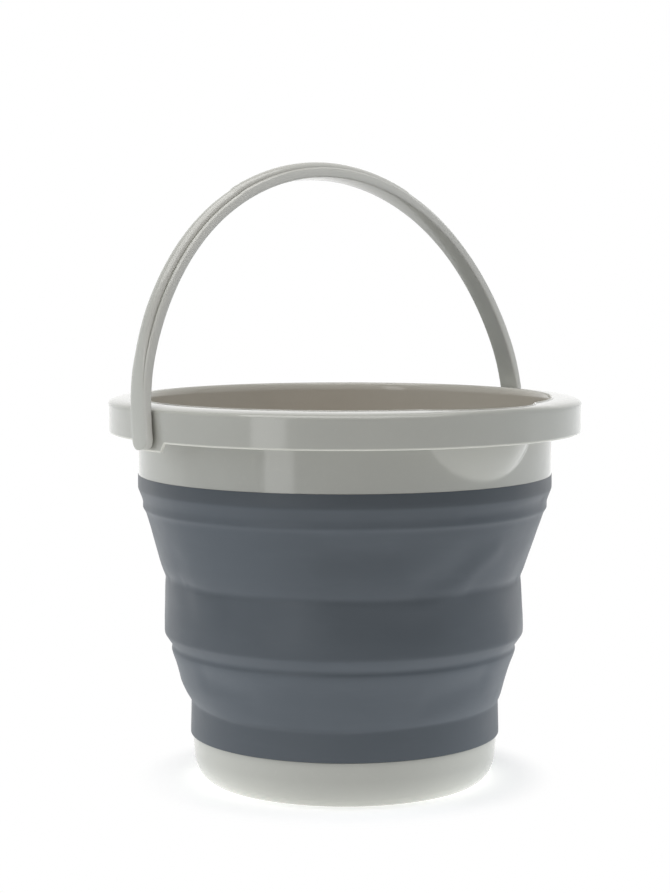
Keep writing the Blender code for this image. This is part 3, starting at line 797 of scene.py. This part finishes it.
class BUCKET_OT_base(bpy.types.Operator):
    """Build the base cup with its rounded foot and the tongue inside the bellows"""

    bl_idname = "bucket.base"
    bl_label = "Base"

    def execute(self, context):
        sizes = context.scene.bucket_base
        low_radius = sizes.top_radius - sizes.draft
        floor = sizes.foot_recess + sizes.wall
        run = low_radius - sizes.foot_radius
        tongue_inside = sizes.tongue_radius - sizes.tongue_wall
        tongue_top = sizes.top + sizes.tongue_height
        inner_run = min(low_radius - sizes.wall, tongue_inside) - sizes.foot_radius
        fine, edge, bevel = 0.0003, 0.0005, 0.0004
        rounds = (0.0, 0.03, 0.06)
        turns = np.radians(np.linspace(0.0, 90.0, 22))
        outline = [(radius, floor) for radius in (*rounds, 0.08)]
        outline += [
            (sizes.foot_radius + inner_run * math.cos(a), floor + sizes.rounding * (1.0 - math.sin(a)))
            for a in turns[::-1]
        ]
        outline += [(tongue_inside, sizes.top), (tongue_inside, tongue_top - fine)]
        outline += arc((tongue_inside + fine, tongue_top - fine), fine, 180.0, 90.0, 2)
        outline += arc((sizes.tongue_radius - fine, tongue_top - fine), fine, 90.0, 0.0, 3)
        outline += [(sizes.tongue_radius, sizes.top)]
        outline += arc((sizes.top_radius - edge, sizes.top - edge), edge, 90.0, 0.0, 4)
        wall_start = sizes.top - edge
        outline += [
            (sizes.top_radius - sizes.draft * part, wall_start + (sizes.rounding - wall_start) * part)
            for part in even(0.0, 1.0, 4)[:-1]
        ]
        outline += [
            (sizes.foot_radius + run * math.cos(a), sizes.rounding * (1.0 - math.sin(a))) for a in turns
        ]
        inside = sizes.foot_radius - sizes.foot_width
        outline += [(inside + bevel, 0.0), (inside, fine), (inside - sizes.foot_recess, sizes.foot_recess)]
        outline += [(radius, sizes.foot_recess) for radius in rounds[::-1]]
        azimuths = np.linspace(0.0, math.tau, 240, endpoint=False)
        rows = [ring_points(azimuths, radius, height) for radius, height in outline]
        base = ring_mesh("base_moulding", rows, closed=False)
        base.data.materials.append(pale_material(context))
        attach(base, "base")
        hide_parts("base_cup")
        return {"FINISHED"}


# Bail


# Shapes of the strip's corner and of the groove, as shares (across, down)
STRIP_CORNER = ((0.0, 1.0), (0.06, 0.85), (0.85, 0.06), (1.0, 0.0))
GROOVE_SHAPE = ((0.72, 0.0), (0.62, 0.15), (0.46, 0.75), (0.22, 1.0), (0.0, 0.9))

# Height over the pivot where a flat end starts to turn into the leg, and the back to become round, each with
# the height over which it does so
LEG_START, LEG_RUN = 0.004, 0.041
BACK_START, BACK_RUN = 0.020, 0.058

# Height of the back over the flat ends, and the width beside the back that gives the groove its full depth
END_CROWN = 0.0008
FULL_LEDGE = 0.0012

# By how many edge radii the back of a flat end is narrower than the end
EDGES_BESIDE_BACK = 2.08


def bail_section(sizes, strip, crown, crown_width, width, pad):
    """Round crown on a wider strip with a fine groove between them, as (across, outward) points."""
    half = width / 2.0
    edge = sizes.edge * min(1.0, width / sizes.width)
    side = [(-half + edge, -pad)] + arc((-half + edge, edge - pad), edge, 270.0, 180.0, 3)
    for across, down in STRIP_CORNER:
        side.append((-half + edge * across, strip - edge * down))
    ledge = half - edge - crown_width / 2.0
    sunk = sizes.groove * min(1.0, max(ledge, 0.0) / FULL_LEDGE)
    for across, down in GROOVE_SHAPE:
        side.append((-crown_width / 2.0 - ledge * across, strip - sunk * down))
    turns = np.linspace(math.pi, 0.0, 21)[1:-1]
    top = [(crown_width / 2.0 * math.cos(a), strip + crown * math.sin(a)) for a in turns]
    return side + top + [(-across, out) for across, out in side[::-1]]


def bail_stations(sizes):
    """Up one leg to the crown of the arch: x, height over the pivot, and the outward direction."""
    turns = np.linspace(0.0, math.pi / 2.0, 13)
    stations = [
        (-sizes.half_span, sizes.paddle_round * (1.0 - math.cos(a)) - sizes.paddle_drop, -1.0, 0.0)
        for a in turns
    ]
    stations += [(-sizes.half_span, height, -1.0, 0.0) for height in (-0.0015, 0.0)]
    angles = list(even(0.0, math.pi / 2.0, 88))
    margin = 0.0006
    ramp_end = sizes.grip_half_length + sizes.grip_ramp
    ramp = np.linspace(sizes.grip_half_length - margin, ramp_end + margin, 8)
    angles += [math.acos((x / sizes.half_span) ** (sizes.power / 2.0)) for x in ramp]
    slope = 2.0 - 2.0 / sizes.power
    for angle in sorted(angles):
        across, up = max(math.cos(angle), 0.0), math.sin(angle)
        out = Vector((-(across**slope) / sizes.half_span, up**slope / sizes.rise)).normalized()
        x = -sizes.half_span * across ** (2.0 / sizes.power)
        if angle < math.pi / 3.0:
            x += sizes.draw_in * math.sin(3.0 * angle) ** 2
        if math.isclose(angle, math.pi / 2.0):
            x, out = 0.0, Vector((0.0, 1.0))
        stations.append((x, sizes.rise * up ** (2.0 / sizes.power), out.x, out.y))
    return stations


def bail_profile(sizes, x, height):
    """Strip, crown, crown width, width and pad of the bail at one place along it."""
    leg = smooth((height - LEG_START) / LEG_RUN)
    grip = smooth((sizes.grip_half_length + sizes.grip_ramp - abs(x)) / sizes.grip_ramp)
    rounding = smooth((height - BACK_START) / BACK_RUN)
    strip = sizes.paddle_thickness + (sizes.leg_strip - sizes.paddle_thickness) * leg
    strip += (sizes.grip_strip - sizes.leg_strip) * grip
    crown = END_CROWN + (sizes.leg_crown - END_CROWN) * rounding
    crown += (sizes.grip_crown - sizes.leg_crown) * grip
    width = sizes.paddle_width + (sizes.width - sizes.paddle_width) * leg
    short = max(sizes.paddle_round - sizes.paddle_drop - height, 0.0)
    width -= 2.0 * (sizes.paddle_round - math.sqrt(max(sizes.paddle_round**2 - short**2, 0.0)))
    face = width - EDGES_BESIDE_BACK * sizes.edge * min(1.0, width / sizes.width)
    return strip, crown, face + (sizes.crown_width - face) * rounding, width, sizes.pad * (1.0 - leg)


def place_bail(obj, sizes):
    """From upright at the origin to its pivot and lean."""
    matrix = Matrix.Translation(BAIL_HINGE["pos_m"]) @ Matrix.Rotation(-sizes.lean, 4, "X")
    obj.data.transform(matrix)
    return obj


class BUCKET_OT_bail(bpy.types.Operator):
    """Build the bail: the arch with its grip, legs and flat ends, and the split studs that hold it"""

    bl_idname = "bucket.bail"
    bl_label = "Bail"

    def execute(self, context):
        sizes = context.scene.bucket_bail
        rim = context.scene.bucket_rim
        rows = []
        for x, height, out_x, out_z in bail_stations(sizes):
            section = bail_section(sizes, *bail_profile(sizes, x, height))
            rows.append([(x + out_x * out, across, height + out_z * out) for across, out in section])
        rows += [[(-x, y, z) for x, y, z in row] for row in rows[-2::-1]]
        around = len(rows[0])
        verts = [point for row in rows for point in row]
        ends = [tuple(range(around))[::-1], tuple(range(len(verts) - around, len(verts)))]
        faces = ends + band_faces(len(rows), around)
        arch = place_bail(finish_mesh("bail_moulding", verts, faces, crease=40.0), sizes)
        studs = place_bail(self.studs(sizes, rim), sizes)
        for obj in (arch, studs):
            obj.data.materials.append(pale_material(context))
            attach(obj, "bail")
            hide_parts("bail_handle")
        return {"FINISHED"}

    def studs(self, sizes, rim):
        """Both studs, turned about X, with a slot through each barb."""
        overlap, room, bevel, rounding = 0.0006, 0.0004, 0.0002, 0.0003
        seat = sizes.half_span + overlap
        shoulder = rim.flange_radius - rim.wall - room
        tip, tip_radius = shoulder - sizes.barb_length, 0.0028
        outline = [
            (seat, 0.0), (seat, sizes.stud_radius), (shoulder, sizes.stud_radius),
            (shoulder, sizes.barb_radius - bevel), (shoulder - bevel, sizes.barb_radius),
            (shoulder - bevel - rounding, sizes.barb_radius), (tip + rounding, tip_radius + rounding),
            (tip, tip_radius), (tip, 0.0),
        ]
        around = 40
        angles = np.linspace(0.0, math.tau, around, endpoint=False)
        verts = [(x, radius * math.cos(a), radius * math.sin(a)) for x, radius in outline for a in angles]
        studs = finish_mesh("bail_studs", verts, band_faces(len(outline), around))
        bm = bmesh.new()
        bmesh.ops.create_cube(bm, size=1.0)
        past_tip, past_shoulder, past_side = 0.0020, 0.0018, 0.0060
        low = Vector((tip - past_tip, -past_side, -sizes.barb_slot / 2.0))
        high = Vector((shoulder + past_shoulder, past_side, sizes.barb_slot / 2.0))
        for vert in bm.verts:
            vert.co = (low + high) / 2.0 + vert.co * (high - low)
        cut(studs, from_bmesh("barb_slot", bm))
        bm = bmesh.new()
        bm.from_mesh(studs.data)
        other = bmesh.ops.duplicate(bm, geom=bm.verts[:] + bm.edges[:] + bm.faces[:])["geom"]
        other_verts = [part for part in other if isinstance(part, bmesh.types.BMVert)]
        other_faces = [part for part in other if isinstance(part, bmesh.types.BMFace)]
        bmesh.ops.scale(bm, vec=(-1.0, 1.0, 1.0), verts=other_verts)
        bmesh.ops.reverse_faces(bm, faces=other_faces)
        bm.to_mesh(studs.data)
        bm.free()
        shade(studs.data)
        return studs


# Stage


# Light that the camera sees from the floor in the bucket's shadow, and of the white room in the gloss
CAMERA_LIFT = 0.50
MIRRORED_WHITE = 1.17

# Distances from the axis over which the floor turns plain white, and the height that the lamps face
FADE_START, FADE_END = 0.105, 0.142
LAMP_AIM = 0.2

# Soft lamps: azimuth in degrees, distance, height and size, and whether they show in the gloss
LAMPS = {
    "top_lamp": (-60.0, 0.25, 1.7, (1.5, 1.5), True),
    "left_lamp": (-118.0, 1.35, 0.55, (0.95, 1.1), False),
    "right_lamp": (60.0, 1.35, 0.55, (0.95, 1.1), False),
    "back_lamp": (140.0, 1.35, 0.55, (0.9, 1.1), False),
    "window_panel": (-74.0, 1.3, 0.45, (0.38, 1.2), True),
    "bail_lamp": (-5.0, 1.2, 0.55, (0.5, 0.5), False),
}

# Height and radius of the round light inside the rim, and how far the floor lies under the foot
INSIDE_HEIGHT, INSIDE_RADIUS = 0.225, 0.05
FLOOR_DROP = 0.0002


def calculated(tree, operation, first, second):
    """The result of one sum of two values."""
    return node(tree, "ShaderNodeMath", {0: first, 1: second}, operation=operation).outputs[0]


def along(tree, place, direction):
    """How far a place lies along a direction."""
    product = node(tree, "ShaderNodeVectorMath", {0: place, 1: direction}, operation="DOT_PRODUCT")
    return product.outputs["Value"]


def seen(tree):
    """1 for what the camera and reflections see, 0 for light that falls on the bucket."""
    path = node(tree, "ShaderNodeLightPath").outputs
    total = calculated(tree, "MAXIMUM", path["Is Camera Ray"], path["Is Glossy Ray"])
    return calculated(tree, "MAXIMUM", total, path["Is Transmission Ray"])


def floor_material(glow, near_glow, side_glow):
    """White floor that glows, takes the bucket's shadow and fades to plain white further out."""
    material = bpy.data.materials.new("white_floor")
    material.use_nodes = True
    tree = material.node_tree
    tree.nodes.clear()
    place = node(tree, "ShaderNodeTexCoord").outputs["Object"]
    away = node(tree, "ShaderNodeVectorMath", {0: place}, operation="LENGTH").outputs["Value"]
    beside = along(tree, place, (math.cos(CAMERA_AZIMUTH), math.sin(CAMERA_AZIMUTH), 0.0))
    behind = along(tree, place, (-math.sin(CAMERA_AZIMUTH), math.cos(CAMERA_AZIMUTH), 0.0))
    aside = calculated(tree, "DIVIDE", beside, away)
    aside = calculated(tree, "MULTIPLY", aside, aside)
    side_light = calculated(tree, "MULTIPLY", aside, mapped(tree, away, side_glow, 0.0, 0.14, 0.30))
    light = mapped(tree, away, glow + near_glow, glow, 0.10, 0.35, "SMOOTHSTEP")
    light = calculated(tree, "ADD", light, side_light)
    strength = node(tree, "ShaderNodeMix", {0: seen(tree), 2: light, 3: CAMERA_LIFT}).outputs[0]
    cool = tinted(tree, seen(tree), (0.935, 0.960, 1.0), (1.0, 1.0, 1.0))
    lift = node(tree, "ShaderNodeEmission", {"Color": cool, "Strength": strength}).outputs[0]
    grain = mapped(tree, noise(tree, place, 60.0), 0.0, 1.0)
    cloth = tinted(tree, grain, (0.86, 0.86, 0.86), (0.88, 0.88, 0.88))
    diffuse = node(tree, "ShaderNodeBsdfDiffuse", {"Color": cloth}).outputs[0]
    both = node(tree, "ShaderNodeAddShader", {0: diffuse, 1: lift}).outputs[0]
    mirrored = node(tree, "ShaderNodeLightPath").outputs["Is Glossy Ray"]
    shine = calculated(tree, "MULTIPLY", mirrored, mapped(tree, behind, 0.0, 0.35, 0.0, 0.30))
    shine = calculated(tree, "ADD", shine, 1.0)
    white = node(tree, "ShaderNodeEmission", {"Color": WHITE, "Strength": shine}).outputs[0]
    far = mapped(tree, away, 0.0, 1.0, FADE_START, FADE_END, "SMOOTHSTEP")
    fade = calculated(tree, "MULTIPLY", far, seen(tree))
    surface = node(tree, "ShaderNodeMixShader", {0: fade, 1: both, 2: white}).outputs[0]
    node(tree, "ShaderNodeOutputMaterial", {"Surface": surface})
    return material


def light_world(scene, ambient):
    world = bpy.data.worlds.new("white_room")
    scene.world = world
    world.use_nodes = True
    tree = world.node_tree
    tree.nodes.clear()
    soft = node(tree, "ShaderNodeBackground", {"Color": WHITE, "Strength": ambient}).outputs[0]
    mirrored = node(tree, "ShaderNodeLightPath").outputs["Is Glossy Ray"]
    strength = mapped(tree, mirrored, 1.0, MIRRORED_WHITE, 0.0, 1.0)
    white = node(tree, "ShaderNodeBackground", {"Color": WHITE, "Strength": strength}).outputs[0]
    surface = node(tree, "ShaderNodeMixShader", {0: seen(tree), 1: soft, 2: white}).outputs[0]
    node(tree, "ShaderNodeOutputWorld", {"Surface": surface})


def new_lamp(name, kind, place, power, tone, gloss=False):
    """A lamp that the camera doesn't see."""
    light = bpy.data.lights.new(name, kind)
    light.energy, light.color = power, tone
    obj = placed(name, light)
    obj.location = place
    obj.visible_camera, obj.visible_glossy = False, gloss
    return obj


def area_lamp(name, power, tone=WHITE[:3]):
    """One of the soft lamps, facing a point on the bucket's axis."""
    azimuth, distance, height, size, gloss = LAMPS[name]
    a = math.radians(azimuth)
    place = Vector((math.sin(a) * distance, -math.cos(a) * distance, height))
    obj = new_lamp(name, "AREA", place, power, tone, gloss)
    obj.data.shape = "RECTANGLE"
    obj.data.size, obj.data.size_y = size
    obj.rotation_euler = (Vector((0.0, 0.0, LAMP_AIM)) - place).to_track_quat("-Z", "Y").to_euler()
    return obj


def light_only(lamp, names):
    """Let a lamp light only the named pieces."""
    lit = bpy.data.collections.new(lamp.name + "_lights")
    for name in names:
        lit.objects.link(bpy.data.objects[name])
    lamp.light_linking.receiver_collection = lit


def inside_lamp(power, tone):
    """A round light inside the rim that lights only the rim, the bellows and the base."""
    lamp = new_lamp("inside_light", "POINT", (0.0, 0.0, INSIDE_HEIGHT), power, tone)
    lamp.data.shadow_soft_size = INSIDE_RADIUS
    light_only(lamp, ("rim_moulding", "bellows_upper", "bellows_lower", "base_moulding"))


class BUCKET_OT_stage(bpy.types.Operator):
    """Build the white floor, the soft lamps and the camera"""

    bl_idname = "bucket.stage"
    bl_label = "Stage"

    def execute(self, context):
        look = context.scene.bucket_stage
        half = look.floor_size / 2.0
        corners = [(-half, -half, 0.0), (half, -half, 0.0), (half, half, 0.0), (-half, half, 0.0)]
        floor = finish_mesh("floor", corners, [(0, 1, 2, 3)])
        floor.location.z = -FLOOR_DROP
        floor.data.materials.append(floor_material(look.floor_glow, look.near_glow, look.side_glow))
        light_world(context.scene, look.ambient)
        area_lamp("top_lamp", look.top_power)
        area_lamp("left_lamp", look.left_power, look.left_tone)
        area_lamp("right_lamp", look.right_power, look.right_tone)
        area_lamp("back_lamp", look.back_power)
        window = area_lamp("window_panel", look.window_power)
        window.visible_diffuse = False
        inside_lamp(look.inside_power, look.inside_tone)
        through = area_lamp("bail_lamp", look.bail_power, look.bail_tone)
        light_only(through, ("bail_moulding", "bail_studs"))
        camera = bpy.data.cameras.new("camera")
        camera.lens = look.focal
        camera.sensor_fit = "AUTO"
        camera.sensor_width = 36.0
        camera.clip_start, camera.clip_end = 0.01, 50.0
        eye = placed("camera", camera)
        away = Vector((math.sin(look.azimuth), -math.cos(look.azimuth), 0.0))
        eye.location = away * look.distance + Vector((0.0, 0.0, look.height))
        ahead = Matrix.Rotation(-look.turn, 3, "Z") @ -away
        gaze = ahead * math.cos(look.pitch) - Vector((0.0, 0.0, math.sin(look.pitch)))
        eye.rotation_euler = gaze.to_track_quat("-Z", "Y").to_euler()
        context.scene.camera = eye
        context.scene.view_settings.view_transform = "Standard"
        return {"FINISHED"}


class BUCKET_PT_panel(bpy.types.Panel):
    """Lists the steps that build the bucket"""

    bl_idname = "BUCKET_PT_panel"
    bl_label = "Camp Bucket"
    bl_space_type = "VIEW_3D"
    bl_region_type = "UI"
    bl_category = "Bucket"

    def draw(self, context):
        column = self.layout.column(align=True)
        for operator in OPERATORS:
            column.operator(operator.bl_idname)
        for group in GROUPS:
            self.layout.label(text=group.replace("_", " ").capitalize())
            box = self.layout.box()
            settings = getattr(context.scene, group)
            for name in settings.bl_rna.properties.keys():
                if name not in ("rna_type", "name"):
                    box.prop(settings, name)


OPERATORS = (BUCKET_OT_rim, BUCKET_OT_bellows, BUCKET_OT_base, BUCKET_OT_bail, BUCKET_OT_stage)
GROUPS = {
    "bucket_rim": BucketRimSizes,
    "bucket_bellows": BucketBellowsSizes,
    "bucket_base": BucketBaseSizes,
    "bucket_bail": BucketBailSizes,
    "bucket_finish": BucketFinish,
    "bucket_stage": BucketStage,
}


def register():
    for kind in (*GROUPS.values(), *OPERATORS, BUCKET_PT_panel):
        bpy.utils.register_class(kind)
    for name, group in GROUPS.items():
        setattr(bpy.types.Scene, name, PointerProperty(type=group))


def unregister():
    for name in GROUPS:
        delattr(bpy.types.Scene, name)
    for kind in (BUCKET_PT_panel, *reversed(OPERATORS), *reversed(list(GROUPS.values()))):
        bpy.utils.unregister_class(kind)


def main():
    register()
    bpy.ops.bucket.rim()
    bpy.ops.bucket.bellows()
    bpy.ops.bucket.base()
    bpy.ops.bucket.bail()
    bpy.ops.bucket.stage()


if __name__ == "__main__":
    main()
